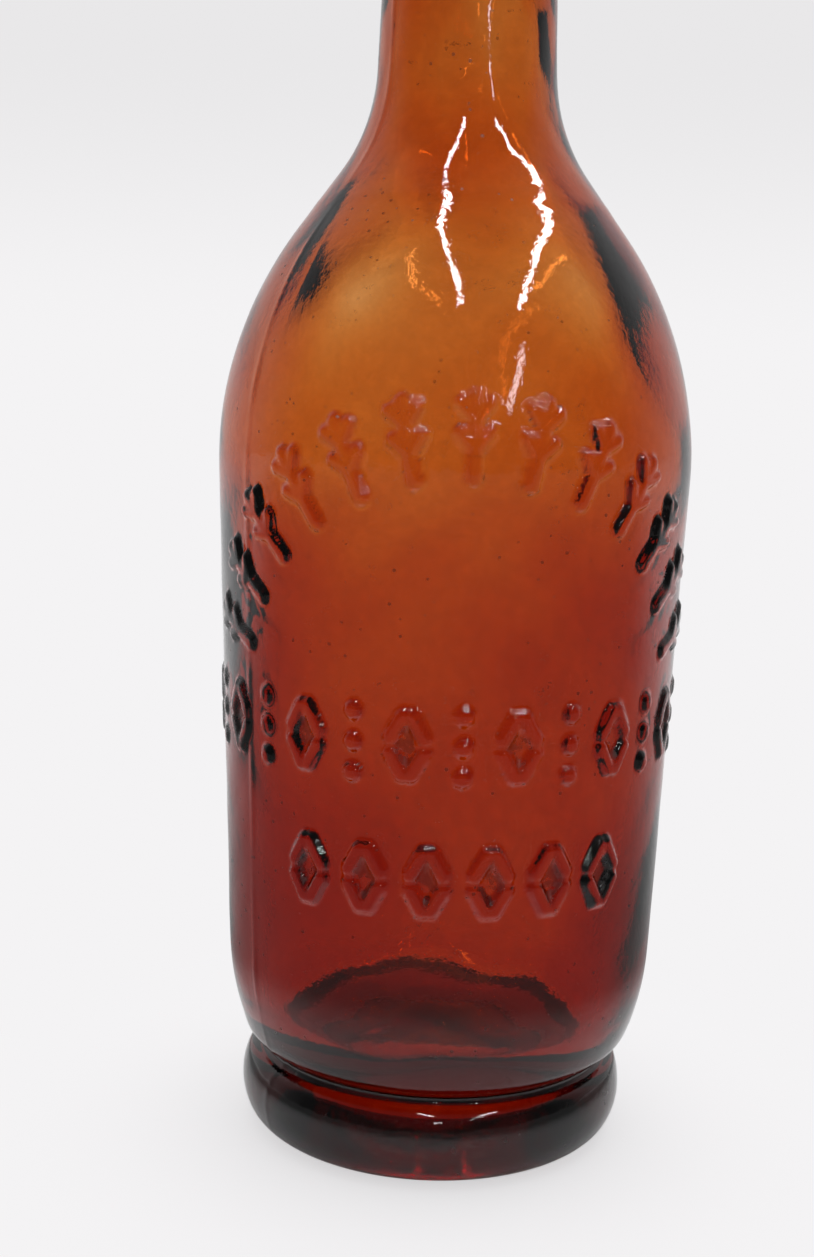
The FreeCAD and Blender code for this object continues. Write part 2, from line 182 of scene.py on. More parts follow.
# %% From shoulder to neck
def shoulder_to_neck(shoulder, reach, cone, neck, lean, sweep):
    """The cone's slope and the sweep's centre: slide the centre down the neck's line until it is
    hypot(reach + sweep, cone) from the shoulder's centre."""
    start, down = neck + sweep * unit(lean), -unit(90 + lean)
    offset = start - shoulder
    along = (offset * np.conj(down)).real
    slide = -along - math.sqrt(along**2 - abs(offset) ** 2 + (reach + sweep) ** 2 + cone**2)
    centre = start + slide * down
    slope = np.degrees(np.angle(centre - shoulder) - math.atan2(cone, reach + sweep))
    return slope, centre


# %% Neck and lip
cone_length, neck_sweep, neck_radius, neck_taper = 11.5, 30.0, 13.4, 1.95
lip_height, lip_step, lip_top_round, lip_under_round, lip_fillet = 17.0, 1.8, 3.4, 2.2, 1.4
lip_low = height - lip_height
neck = neck_radius + 1j * lip_low
slope, sweep = shoulder_to_neck(shoulder, shoulder_round, cone_length, neck, neck_taper, neck_sweep)
lip_side = neck_radius + lip_step
under = lip_side - lip_under_round + 1j * (lip_low + lip_under_round)
aside = lip_fillet + ((neck - under) * np.conj(unit(neck_taper))).real
drop = math.sqrt((lip_under_round + lip_fillet) ** 2 - aside**2)
nook = under + aside * unit(neck_taper) - drop * unit(90 + neck_taper)
nook_angle = np.degrees(np.angle(nook - under))
brow = lip_side - lip_top_round + 1j * (height - lip_top_round)
print(f"the shoulder's cone leans {slope:.1f} degrees from upright, the lip is {2 * lip_side:.1f} mm across")

# %% Barrel to lip
ORNAMENT_LOW, ORNAMENT_HIGH = 45.0, 133.0
ornament_end = math.degrees(math.asin((ORNAMENT_HIGH - crown_height) / shoulder_round))
barrel_foot = radius_on(wall_high, wall_taper, ORNAMENT_LOW) + 1j * ORNAMENT_LOW
outside = chain(
    straight(wall_low, barrel_foot, MEDIUM),
    straight(barrel_foot, wall_high, FINE),
    arc(shoulder, shoulder_round, -wall_taper, ornament_end, FINE),
    arc(shoulder, shoulder_round, ornament_end, slope, 1.1),
    straight(shoulder + shoulder_round * unit(slope), sweep - neck_sweep * unit(slope), 1.1),
    arc(sweep, neck_sweep, slope + 180, neck_taper + 180, 1.1),
    straight(sweep - neck_sweep * unit(neck_taper), nook - lip_fillet * unit(neck_taper), COARSE),
    arc(nook, lip_fillet, neck_taper + 180, nook_angle + 180, 0.35),
    arc(under, lip_under_round, nook_angle, 0, 0.5),
    straight(lip_side + 1j * under.imag, lip_side + 1j * brow.imag, 1.0),
    arc(brow, lip_top_round, 0, 90, 0.6),
)
print(f"{outside.size} points from the wall to the lip")

# %% [markdown]
# ### Inside
#
# The inside was never touched by a mould. The wall is thin at the shoulder and thickens downwards,
# because hot glass runs, and that is why the bottle darkens towards its base. The hollow ends in a
# low dome with a trough round it, over the push-up of the underside.

# %% Bore and shoulder
neck_wall, bore_taper, mouth_radius, mouth_round = 3.4, 3.2, 8.4, 1.6
shoulder_wall, inner_taper = 3.1, 4.6
mouth = mouth_radius + mouth_round + 1j * (height - mouth_round)
reach, inner_sweep = shoulder_round - shoulder_wall, neck_sweep + neck_wall
bore_high = mouth - mouth_round * unit(bore_taper)
inner_slope, bore = shoulder_to_neck(shoulder, reach, cone_length, bore_high, bore_taper, inner_sweep)
inner_high = shoulder + reach * unit(-inner_taper)
print(f"the wall is {shoulder_wall} mm thick at the shoulder and {neck_wall} mm in the neck's sweep")

# %% Floor
base_middle, trough_fall, trough_reach = 8.5, 4.0, 16.2
floor_top = punt_height + base_middle
# the trough is the round that turns the wall into the floor: it fills the room between them
away = inner_high - trough_reach - 1j * (floor_top - trough_fall)
trough_round = (away / unit(-inner_taper)).real / (1 - math.sin(math.radians(inner_taper)))
trough = trough_reach + 1j * (floor_top - trough_fall + trough_round)
dome = 1j * (floor_top + trough_round - (trough_reach**2 / trough_fall + trough_fall) / 2)
dome_edge = np.degrees(np.angle(trough - dome))
print(f"floor {floor_top:.1f} mm up in its middle, with a trough of radius {trough_round:.1f} mm")

# %% Lip to floor
inside = chain(
    straight(brow.real + 1j * height, mouth.real + 1j * height, 0.9),
    arc(mouth, mouth_round, 90, 180 + bore_taper, 0.4),
    straight(bore_high, bore - inner_sweep * unit(bore_taper), 2.4),
    arc(bore, inner_sweep, bore_taper + 180, inner_slope + 180, 2.0),
    straight(bore - inner_sweep * unit(inner_slope), shoulder + reach * unit(inner_slope), 2.0),
    arc(shoulder, reach, inner_slope, -inner_taper, 2.0),
    straight(inner_high, trough + trough_round * unit(-inner_taper), 2.4),
    arc(trough, trough_round, -inner_taper, dome_edge - 180, 1.3),
    arc(dome, floor_top - dome.imag, dome_edge, 90, 1.8),
)
outline = chain(foot, outside, inside)
is_outside = np.arange(outline.size) < foot.size + outside.size - 1
print(f"{outline.size} points in the outline, {is_outside.sum()} of them outside")

# %% [markdown]
# ## The skin
#
# The outline turned through uneven steps gives a grid: narrow columns across the front, where the
# ornament is, and wide ones behind. Each row is a ring, and each of the two ends closes in one point.
# Above and below the ornament and on the inside the rings keep only some of the columns, which saves
# half the faces, and a strip of triangles joins the two kinds of ring.

# %% Columns round the bottle
ORNAMENT_HALF, SEAM_TURNED, EVERY = 102.0, -57.0, 4
FRONT_STEP, BACK_STEP = 0.72, 4.2


def columns(fine, coarse, half, seam):
    """Angles round the bottle in degrees from the front: steps of fine within half, coarse beyond,
    and a few close together over the seam behind. Also which of them the plainer rings keep: every
    fourth in front, all behind and all near the seam."""
    front = np.linspace(-half, half, math.ceil(2 * half / fine) + 1)
    back = np.linspace(half, 360 - half, math.ceil((360 - 2 * half) / coarse) + 1)[1:-1]
    back = np.sort(np.concatenate([back, seam + 180 + np.array([-1.7, -0.8, 0.1, 0.9])]))
    every = np.arange(front.size) % EVERY == 0
    kept = np.concatenate([every | (np.abs(front - seam) < 2.6), np.ones(back.size, dtype=bool)])
    return np.radians(np.concatenate([front, back])), kept


around, kept_columns = columns(FRONT_STEP, BACK_STEP, ORNAMENT_HALF, SEAM_TURNED)
print(f"{around.size} columns, of which {kept_columns.sum()} in plain rings")

# %% The grid
turned, ring_height = np.meshgrid(around, outline.imag)
ring_radius = np.repeat(outline.real[:, None], around.size, axis=1)
outer = np.repeat(is_outside[:, None], around.size, axis=1)
fine_rings = is_outside & (outline.imag > ORNAMENT_LOW - 1) & (outline.imag < ORNAMENT_HIGH + 1)
print(f"{outline.size} rings, of which {fine_rings.sum()} use every column")

# %% [markdown]
# ### Waves in the glass
#
# Noise from a texture would move with the mesh's resolution. Old glass waves are smooth and few, so a
# handful of cosines does it: each has a whole number of turns round the bottle, so that it meets
# itself, and its own length up the bottle. The waves of the mould are faint, because iron is smooth,
# and those of the breath are ten times as deep.

# %% A sum of waves
def waves(seed, count, turns, length, at_turned, at_height):
    """Mean square one: the sum over i of cos(turns_i * angle + 2 pi height / length_i + phase_i),
    times sqrt(2 / count). Turns and lengths are drawn within the given ranges."""
    draw = np.random.default_rng(seed)
    total = np.zeros_like(at_turned)
    for _ in range(count):
        spins = draw.integers(turns[0], turns[1] + 1) * draw.choice([-1, 1])
        rise_per_mm = 2 * np.pi / draw.uniform(*length)
        total += np.cos(spins * at_turned + rise_per_mm * at_height + draw.uniform(0, 2 * np.pi))
    return total * math.sqrt(2 / count)


MOULD_BROAD, MOULD_FINE, BREATH_BROAD, BREATH_FINE = 0.032, 0.010, 0.30, 0.10
mould_waves = MOULD_BROAD * waves(3, 9, (2, 7), (25, 70), turned, ring_height)
mould_waves += MOULD_FINE * waves(4, 14, (9, 26), (8, 18), turned, ring_height)
breath_waves = BREATH_BROAD * waves(5, 8, (1, 3), (50, 160), turned, ring_height)
breath_waves += BREATH_FINE * waves(6, 14, (4, 11), (14, 40), turned, ring_height)
print(f"outside waves up to {np.abs(mould_waves).max():.2f} mm, inside {np.abs(breath_waves).max():.2f} mm")

# %% [markdown]
# ### Hollows and swellings of the inside
#
# Where the wall is thin the glass glows yellow, and where it is thick it darkens, so a few soft spots
# are what the eye reads as blown glass. They could be pushed in by hand in Sculpt Mode, but a spot that
# is a bell curve of its distance can be moved by a number. Six thin spots and two thick ones lie round
# the shoulder. The whole neck is a little thinner, and a thick band rings the barrel.

# %% Ramps, bells and turns
def ramp(start, end, value):
    """A smooth step: 3 t^2 - 2 t^3, where t runs from 0 at start to 1 at end."""
    t = np.clip((value - start) / (end - start), 0, 1)
    return t * t * (3 - 2 * t)


def bell(away, wide):
    """exp(-(away / wide)^2): one in the middle, and a third of that at the width."""
    return np.exp(-((away / wide) ** 2))


def turned_from(degrees):
    """Angle in radians from a place round the bottle, wrapped to half a turn either way."""
    return np.angle(np.exp(1j * (turned - math.radians(degrees))))


print(f"a quarter of the way a ramp is {ramp(0, 1, 0.25):.2f} high, and at its width a bell {bell(1, 1):.2f}")

# %% Soft spots
# each spot: degrees from the front, height, how much thinner the wall is there, and how wide
SPOTS = (
    (-30, 144.5, 1.75, 10), (38, 146, 1.7, 9.5), (-146, 146, 1.1, 14), (130, 147, 1.3, 14),
    (-24, 177, 0.6, 9), (0, 167, -0.9, 10), (180, 167, -0.9, 10), (-50, 160.5, 0.5, 5),
)
NECK_THINNER, NECK_FROM, NECK_TO = 0.35, 176, 190
BAND_THICKER, BAND_MIDDLE, BAND_WIDE = 0.85, 93, 18
for spot_turned, spot_height, thinner, wide in SPOTS:
    away = turned_from(spot_turned) * ring_radius + 1j * (ring_height - spot_height)
    breath_waves += thinner * bell(np.abs(away), wide)
breath_waves += NECK_THINNER * ramp(NECK_FROM, NECK_TO, ring_height)
breath_waves -= BAND_THICKER * bell(ring_height - BAND_MIDDLE, BAND_WIDE)
print(f"with the spots the inside moves by up to {np.abs(breath_waves).max():.2f} mm")

# %% Where the waves fade
# none on the axis, where the rings shrink to a point, few at the lip and none on the table
LIP_CALM = 0.8
axis_fade = ramp(2, 12, ring_radius)
lip_fade = 1 - LIP_CALM * ramp(lip_low - 6, lip_low, ring_height)
low_fade = ramp(0.2, 3.0, ring_height)
faded_waves = mould_waves * axis_fade * lip_fade * low_fade
print(f"outside waves of up to {np.abs(faded_waves[is_outside]).max():.2f} mm stay")

# %% [markdown]
# ### Raised ornament
#
# Letters or figures on such a bottle were cut into the mould with a round graver, so they stand out as
# half-round ridges of one height. Here they are ears of grain in an arch over a row of lozenges and
# beads and a row of lozenges. Text objects or curves with a bevel could be bent round the wall, but
# they would only touch the glass, not melt into it. So each stroke is a segment drawn on the unrolled
# wall, and the height of the ridge falls with the distance from that segment.

# %% An ear of grain, in millimetres on the unrolled wall
stroke_round, side_grain_round = 1.35, 1.15
grain_length, side_grain_length, side_grain_lean = 15.0, 5.7, 38.0
side_grain_first, side_grain_pitch = 4.2, 4.4


def ear():
    """A stem and two pairs of side grains. Each stroke is centre, spin, half length and radius."""
    strokes = [(0j, 0.0, grain_length / 2 - stroke_round, stroke_round)]
    half = side_grain_length / 2 - side_grain_round
    for pair in range(2):
        foot_up = stroke_round - grain_length / 2 + side_grain_first + pair * side_grain_pitch
        for side in (-1, 1):
            spin = -side * side_grain_lean
            centre = 1j * foot_up + half * unit(90 + spin)
            strokes.append((centre, spin, half, side_grain_round))
    return strokes


print(f"an ear has {len(ear())} strokes")

# %% A lozenge and a stack of beads
lozenge_width, lozenge_height = 6.4, 11.6
bead_round, bead_pitch = 1.6, 4.9


def lozenge():
    """Four strokes from corner to corner."""
    lean = math.degrees(math.atan2(lozenge_width, lozenge_height))
    half = math.hypot(lozenge_width, lozenge_height) / 4 - stroke_round
    corners = [(a, b) for a in (-1, 1) for b in (-1, 1)]
    side = lozenge_width / 4, lozenge_height / 4
    return [(a * side[0] + 1j * b * side[1], a * b * lean, half, stroke_round) for a, b in corners]


def beads():
    """Three beads, one above another."""
    return [(1j * step * bead_pitch, 0.0, 0.0, bead_round) for step in (-1, 0, 1)]


print(f"a lozenge has {len(lozenge())} strokes and a stack of beads {len(beads())}")

# %% Place the motifs
arch_count, arch_radius, arch_middle, arch_pitch = 13, 50.0, 73.0, 11.6
placed = []
for index in range(arch_count):
    spin = (index - (arch_count - 1) / 2) * arch_pitch
    spot = 1j * arch_middle + arch_radius * unit(90 - spin)
    placed.append((ear(), math.degrees(spot.real / crown_radius), spot.imag, -spin))
for count, pitch, middle, motifs in ((15, 13.0, 75.4, (lozenge, beads)), (6, 15.2, 53.6, (lozenge,))):
    for index in range(count):
        placed.append((motifs[index % len(motifs)](), (index - (count - 1) / 2) * pitch, middle, 0.0))
print(f"{len(placed)} motifs with {sum(len(motif) for motif, *_ in placed)} strokes")

# %% Ridges
RIDGE_HEIGHT, RIDGE_SPREAD, RIDGE_POWER = 1.15, 0.12, 0.7


def ridge(across, up, centre, spin, half, radius):
    """RIDGE_HEIGHT * (1 - (d / w)^3)^RIDGE_POWER, where d is the distance from the stroke's segment
    and w its radius and a little more for the soft foot that glass leaves in a groove."""
    local = (across + 1j * up - centre) / unit(spin)
    beyond = local.real + 1j * (np.abs(local.imag) - half).clip(0)
    return RIDGE_HEIGHT * np.clip(1 - (np.abs(beyond) / (radius + RIDGE_SPREAD)) ** 3, 0, 1) ** RIDGE_POWER


# on the shoulder the height of a motif is measured along the arc
lean = np.arcsin(np.clip((ring_height - crown_height) / shoulder_round, -1, 1)) + math.radians(wall_taper)
climb = np.where(ring_height > wall_high.imag, wall_high.imag + shoulder_round * lean, ring_height)
print(f"a ridge is {ridge(0.0, 0.0, 0j, 0.0, 1.0, stroke_round):.2f} mm high in its middle")

# %% [markdown]
# ### Relief and painted shade
#
# The motifs are pressed into one array of heights, the greatest winning where strokes cross. The mould
# was cut less deep towards the edges of its halves, so that it could open, and no two motifs are equally
# deep. A second array says where painted shade goes: a darker colour at the foot of each ridge and
# inside each lozenge, where the steep flanks would make the glass look dark.

# %% Press the motifs into the wall
MOTIF_REACH, ORNAMENT_TURN = 11.0, 3.0
DEPTH_RANGE, SHALLOWER, SHALLOW_FROM, SHALLOW_TO = (0.9, 1.08), 0.6, 30, 85
relief, ornament_shade = np.zeros_like(ring_height), np.zeros_like(ring_height)
draw = np.random.default_rng(11)
for motif, motif_turned, motif_height, motif_spin in placed:
    away = turned_from(motif_turned + ORNAMENT_TURN) * ring_radius
    above = climb - motif_height
    near = outer & (np.abs(away) < MOTIF_REACH) & (np.abs(above) < MOTIF_REACH)
    local = (away[near] + 1j * above[near]) / unit(motif_spin)
    depth = draw.uniform(*DEPTH_RANGE) * (1 - SHALLOWER * ramp(SHALLOW_FROM, SHALLOW_TO, abs(motif_turned)))
    for stroke in motif:
        relief[near] = np.maximum(relief[near], depth * ridge(local.real, local.imag, *stroke))
    # painted shade: the inside of each lozenge gets a darker colour
    if len(motif) == len(lozenge()):
        within = 1 - np.abs(local.real) / (lozenge_width / 2) - np.abs(local.imag) / (lozenge_height / 2)
        ornament_shade[near] = np.maximum(ornament_shade[near], ramp(0.1, 0.45, within))
print(f"ridges stand up to {relief.max():.2f} mm out")

# %% Painted shade at the foot of the ridges
RIDGE_SHADE_MIDDLE, RIDGE_SHADE_WIDE = 0.22, 0.16
# painted shade: a darker colour in a band at the foot of each ridge, in place of the dark edges that the
# steep flanks show by refraction
ornament_shade = np.maximum(ornament_shade, bell(relief - RIDGE_SHADE_MIDDLE, RIDGE_SHADE_WIDE)) * outer
print(f"dirt on {(ornament_shade > 0.5).mean():.1%} of the grid's points")

# %% [markdown]
# ### Seams and the lean of the foot
#
# Where the mould's halves met, a hair of glass crept between them: two upright seams on opposite sides,
# and one round the shoulder where the mould's top plate lay. The foot sits a little off the axis. A
# seam this fine could be bump, but bump doesn't break the outline or bend what is seen through it.

# %% Seams
SEAM_HEIGHT, SEAM_WIDTH, SEAM_WANDER = 0.10, 0.7, 0.35
PLATE_SEAM, PLATE_SEAM_HEIGHT, PLATE_SEAM_TILT, PLATE_SEAM_WIDTH = 159.0, 0.07, 0.8, 0.8
seam_away = np.abs(np.angle(np.exp(2j * (turned - math.radians(SEAM_TURNED))))) / 2 * ring_radius
seam_wander = 1 + SEAM_WANDER * waves(8, 5, (0, 0), (9, 40), turned, ring_height)
upright_seam = SEAM_HEIGHT * seam_wander * bell(seam_away, SEAM_WIDTH) * ramp(1, 4, ring_height)
upright_seam *= 1 - ramp(lip_low - 12, lip_low - 4, ring_height)
plate_away = ring_height - PLATE_SEAM - PLATE_SEAM_TILT * np.cos(turned)
plate_seam = PLATE_SEAM_HEIGHT * bell(plate_away, PLATE_SEAM_WIDTH)
print(f"upright seams {upright_seam.max():.2f} mm high, plate seam {plate_seam.max():.2f} mm")

# %% Where every point lies
FOOT_OFF, FLOOR_WAVES = -0.7, 0.35
radius = ring_radius + np.where(
    outer,
    faded_waves + (upright_seam + plate_seam) * axis_fade + relief,
    breath_waves * axis_fade * lip_fade,
)
foot_off = FOOT_OFF * (1 - ramp(9, 22, ring_height)) * outer
lumps = waves(9, 8, (1, 4), (30, 60), turned, ring_radius * 2) * (1 - ramp(14, 30, ring_height))
height_now = ring_height + np.where(outer, 0, FLOOR_WAVES * lumps * axis_fade)
x = radius * np.sin(turned) + foot_off
y = -radius * np.cos(turned)
rings = np.stack([x, y, height_now], axis=-1) * MM
print(f"the widest point is {radius.max():.2f} mm from the axis")

# %% [markdown]
# ### Faces
#
# Blender could join the rings with Bridge Edge Loops, but that guesses how to pair rings with unequal
# numbers of points. The pairing here is counted out. Every face lists its corners so that it points
# away from the glass, on the inside towards the hollow, and no point is there twice.

# %% Faces between two rings
def quads_between(index):
    """Quads from each ring of vertex numbers to the next, wrapped round."""
    right = np.roll(index, -1, axis=1)
    return np.stack([index[:-1], right[:-1], right[1:], index[1:]], axis=-1).reshape(-1, 4)


print(f"two rings of four points take {len(quads_between(np.arange(8).reshape(2, 4)))} quads")

# %% Triangles between a plain ring and a full one
def strip_between(index, plain, full, kept):
    """Triangles between a plain ring, of the kept columns only, and the full ring beside it: one from
    each step of the full ring to the kept column behind it, and one from each step of the plain ring."""
    every, some = np.arange(index.shape[1]), np.flatnonzero(kept)
    owner = some[np.searchsorted(some, every, side="right") - 1]
    steps = [index[plain, owner], index[full, np.roll(every, -1)], index[full, every]]
    gaps = [index[plain, some], index[plain, np.roll(some, -1)], index[full, np.roll(some, -1)]]
    triangles = np.concatenate([np.stack(steps, axis=-1), np.stack(gaps, axis=-1)])
    return triangles if plain < full else triangles[:, ::-1]


strip = strip_between(np.arange(16).reshape(2, 8), 0, 1, np.arange(8) % 2 == 0)
print(f"four points below eight take {len(strip)} triangles")

# %% All faces of the skin
def skin_faces(used, fine, kept):
    """Corners of every face. The used points are numbered ring by ring, then the two end points."""
    index = used.cumsum().reshape(used.shape) - 1
    first, last = np.flatnonzero(fine)[[0, -1]]
    quads = [
        quads_between(index[:first][:, kept]),
        quads_between(index[first:last + 1]),
        quads_between(index[last + 1:][:, kept]),
    ]
    low_ring, high_ring = index[0, kept], index[-1, kept]
    low_end, high_end = np.full(low_ring.size, used.sum()), np.full(low_ring.size, used.sum() + 1)
    triangles = [
        strip_between(index, first - 1, first, kept),
        strip_between(index, last + 1, last, kept),
        np.stack([low_end, np.roll(low_ring, -1), low_ring], axis=-1),
        np.stack([high_ring, np.roll(high_ring, -1), high_end], axis=-1),
    ]
    return np.concatenate(quads).tolist() + np.concatenate(triangles).tolist()


used_points = fine_rings[1:-1, None] | kept_columns
faces = skin_faces(used_points, fine_rings[1:-1], kept_columns)
print(f"{used_points.sum() + 2} points and {len(faces)} faces")

# %% The skin
def skin_mesh(name, points, painted_shade, used, faces):
    """A closed mesh from the used points of each ring. The first and last ring shrink to one point each.
    How much painted shade each point gets goes along as an attribute."""
    ends = np.stack([points[0].mean(axis=0), points[-1].mean(axis=0)])
    mesh = bpy.data.meshes.new(name)
    mesh.from_pydata(np.concatenate([points[1:-1][used], ends]).tolist(), [], faces)
    # painted shade: the darkening round the ornament goes with the mesh as an attribute
    painted_shade_values = np.append(painted_shade[1:-1][used], [0, 0])
    mesh.attributes.new("ornament_shade", "FLOAT", "POINT").data.foreach_set("value", painted_shade_values)
    mesh.shade_smooth()
    mesh.update()
    return mesh


skin = skin_mesh("bottle_glass", rings, ornament_shade, used_points, faces)
glass = bpy.data.objects.new("bottle_glass", skin)
bpy.context.scene.collection.objects.link(glass)
triangles = sum(len(face.vertices) - 2 for face in glass.data.polygons)
print(f"{triangles} triangles in the skin")

# %% [markdown]
# ## The glass
#
# Brown glass is clear: its colour is in its depth, where iron and sulphur swallow blue first, then
# green. Painting the surface brown would look like varnish, so the surface is colourless and a Volume
# Absorption node colours the way through. Each channel fades as exp(-loss * distance), so the thin
# shoulder glows amber and the thick heel goes to dark red by itself. A colour picked with the Glass
# shader would be the same everywhere.
#
# Materials are graphs of nodes. They can be wired by hand in the Shader Editor, and a script only
# repeats those clicks.

# %% An empty material
def blank_material(name):
    """A new material whose graph holds only its output: the material, its nodes, links and output."""
    material = bpy.data.materials.new(name)
    material.use_nodes = True
    nodes, links = material.node_tree.nodes, material.node_tree.links
    nodes.clear()
    return material, nodes, links, nodes.new("ShaderNodeOutputMaterial")


amber, nodes, links, output = blank_material("amber_glass")
glass.data.materials.append(amber)
print(f"{amber.name} is empty but for {output.name}")

# %% Colour by depth
LOSS_PER_MM = np.array([0.100, 0.345, 0.720])
DENSITY = 800.0
depth = nodes.new("ShaderNodeVolumeAbsorption")
# the node takes density * (1 - colour) per metre from each channel
depth.inputs["Color"].default_value = (*(1 - LOSS_PER_MM / MM / DENSITY), 1)
depth.inputs["Density"].default_value = DENSITY
links.new(depth.outputs["Volume"], output.inputs["Volume"])
for thickness in (3.0, 10.0):
    red, green, blue = np.exp(-LOSS_PER_MM * thickness)
    print(f"through {thickness:.0f} mm pass red {red:.0%}, green {green:.0%} and blue {blue:.0%}")

# %% [markdown]
# ### Grain of the mould
#
# The iron of the mould left a fine grain and a faint orange peel. Both could be modelled, with millions
# of faces, but nobody sees their outline, so they are bump: one height bends the normals, and a second
# bends them again.

# %% Grain of the mould
NOISE_ROUGHNESS = 0.62
PEEL_SCALE, PEEL_DETAIL, PEEL_STRENGTH, PEEL_DEPTH = 260.0, 4.0, 0.25, 0.0002
GRAIN_SCALE, GRAIN_DETAIL, GRAIN_STRENGTH, GRAIN_DEPTH = 900.0, 1.0, 0.3, 0.00003


def noise_node(nodes, links, place, scale, detail):
    """Noise on Object coordinates, as a socket of about 0.2 to 0.8."""
    noise = nodes.new("ShaderNodeTexNoise")
    noise.inputs["Scale"].default_value = scale
    noise.inputs["Detail"].default_value = detail
    noise.inputs["Roughness"].default_value = NOISE_ROUGHNESS
    links.new(place.outputs["Object"], noise.inputs["Vector"])
    return noise.outputs["Fac"]


def bump_node(nodes, links, source, strength, distance):
    """A Bump node fed by a height."""
    bump = nodes.new("ShaderNodeBump")
    bump.inputs["Strength"].default_value = strength
    bump.inputs["Distance"].default_value = distance
    links.new(source, bump.inputs["Height"])
    return bump


place = nodes.new("ShaderNodeTexCoord")
grain = noise_node(nodes, links, place, GRAIN_SCALE, GRAIN_DETAIL)
peel = noise_node(nodes, links, place, PEEL_SCALE, PEEL_DETAIL)
grain_bump = bump_node(nodes, links, grain, GRAIN_STRENGTH, GRAIN_DEPTH)
peel_bump = bump_node(nodes, links, peel, PEEL_STRENGTH, PEEL_DEPTH)
links.new(grain_bump.outputs["Normal"], peel_bump.inputs["Normal"])
print(f"grain about {1 / GRAIN_SCALE / MM:.1f} mm wide, orange peel about {1 / PEEL_SCALE / MM:.1f} mm")

# %% [markdown]
# ### Dirt and painted shade
#
# Pits in the glass hold grains of dirt: small cells of a Voronoi pattern, where a broad noise lets
# them. A ragged film of painted shade lies round the ornament, where the mesh's attribute says so: it
# darkens the colour where the ridges' flanks would look dark. A painted texture could do all this, but
# it would need an unwrapped mesh and would blur close up.

# %% Helpers for Math and Map Range nodes
def maths(nodes, links, operation, first, second):
    """A Math node of two inputs, each a socket or a number, clamped to 0..1."""
    node = nodes.new("ShaderNodeMath")
    node.operation, node.use_clamp = operation, True
    for socket, value in zip(node.inputs, (first, second)):
        if isinstance(value, (int, float)):
            socket.default_value = value
        else:
            links.new(value, socket)
    return node.outputs["Value"]


def ramp_node(nodes, links, source, low, high, at_low, at_high):
    """A Map Range node that smooths from at_low to at_high as the source runs from low to high."""
    node = nodes.new("ShaderNodeMapRange")
    node.interpolation_type = "SMOOTHSTEP"
    for name, value in (("From Min", low), ("From Max", high), ("To Min", at_low), ("To Max", at_high)):
        node.inputs[name].default_value = value
    links.new(source, node.inputs["Value"])
    return node.outputs["Result"]


# %% Pits
PIT_SCALE, PATCH_SCALE = 420.0, 60.0
cells = nodes.new("ShaderNodeTexVoronoi")
cells.inputs["Scale"].default_value = PIT_SCALE
links.new(place.outputs["Object"], cells.inputs["Vector"])
pits = ramp_node(nodes, links, cells.outputs["Distance"], 0.08, 0.17, 1.0, 0.0)
patches = ramp_node(nodes, links, noise_node(nodes, links, place, PATCH_SCALE, 3.0), 0.5, 0.6, 0.0, 1.0)
pits = maths(nodes, links, "MULTIPLY", pits, patches)
print(f"pits about {1 / PIT_SCALE / MM:.1f} mm apart in patches of about {1 / PATCH_SCALE / MM:.0f} mm")

# %% Painted shade round the ornament
RAGGED_SCALE = 380.0
# painted shade: the mesh's attribute, broken up by noise, darkens the colour round the ornament
shade_round_ornament = nodes.new("ShaderNodeAttribute")
shade_round_ornament.attribute_name = "ornament_shade"
ragged = ramp_node(nodes, links, noise_node(nodes, links, place, RAGGED_SCALE, 4.0), 0.38, 0.58, 0.0, 1.0)
shade_round_ornament = maths(nodes, links, "MULTIPLY", shade_round_ornament.outputs["Fac"], ragged)
# the mask joins real dirt in the pits and painted shade round the ornament
dirt_and_shade = maths(nodes, links, "MAXIMUM", pits, shade_round_ornament)
print(f"the graph has {len(nodes)} nodes so far")

# %% Surface
GLASS_IOR = 1.5
# the darker colour is both the dirt in the pits and the painted shade round the ornament
CLEAN, DIRT_AND_SHADE_COLOUR = (1, 1, 1, 1), (0.32, 0.29, 0.28, 1)
CLEAN_ROUGHNESS, DIRT_AND_SHADE_ROUGHNESS = 0.015, 0.35
surface = nodes.new("ShaderNodeBsdfPrincipled")
surface.inputs["Transmission Weight"].default_value = 1.0
surface.inputs["IOR"].default_value = GLASS_IOR
colour = nodes.new("ShaderNodeMix")
colour.data_type = "RGBA"
colour.inputs["A"].default_value, colour.inputs["B"].default_value = CLEAN, DIRT_AND_SHADE_COLOUR
links.new(dirt_and_shade, colour.inputs["Factor"])
links.new(colour.outputs["Result"], surface.inputs["Base Color"])
roughness = ramp_node(nodes, links, dirt_and_shade, 0.0, 1.0, CLEAN_ROUGHNESS, DIRT_AND_SHADE_ROUGHNESS)
links.new(roughness, surface.inputs["Roughness"])
links.new(peel_bump.outputs["Normal"], surface.inputs["Normal"])
links.new(surface.outputs["BSDF"], output.inputs["Surface"])
print(f"{amber.name} has {len(nodes)} nodes")

# %% [markdown]
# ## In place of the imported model
#
# The CAD solid and the skin fill the same room, so the render shows only the skin. It rides on the one
# body that the bottle has.

# %% Replace the node
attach(glass, "root")
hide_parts(NODE)
print(f"{glass.name} stands for {NODE}")

# %% [markdown]
# ## Floor and world
#
# Clear glass shows its surroundings, so a plain pale studio is part of the finish. Extra lamps could
# brighten the background, but they would also burn out the glass. Instead the floor and the world send
# out the pale colour for rays that come straight from the camera or through the glass. What gloss
# mirrors is dimmer, as in a light tent that is open at the front: without that, a pink veil hides the
# amber. Light Path tells the kinds of ray apart. A ray bent through glass counts as glossy too, so that
# one is taken away.

# %% Kinds of ray
PALE = (0.905, 0.895, 0.905)


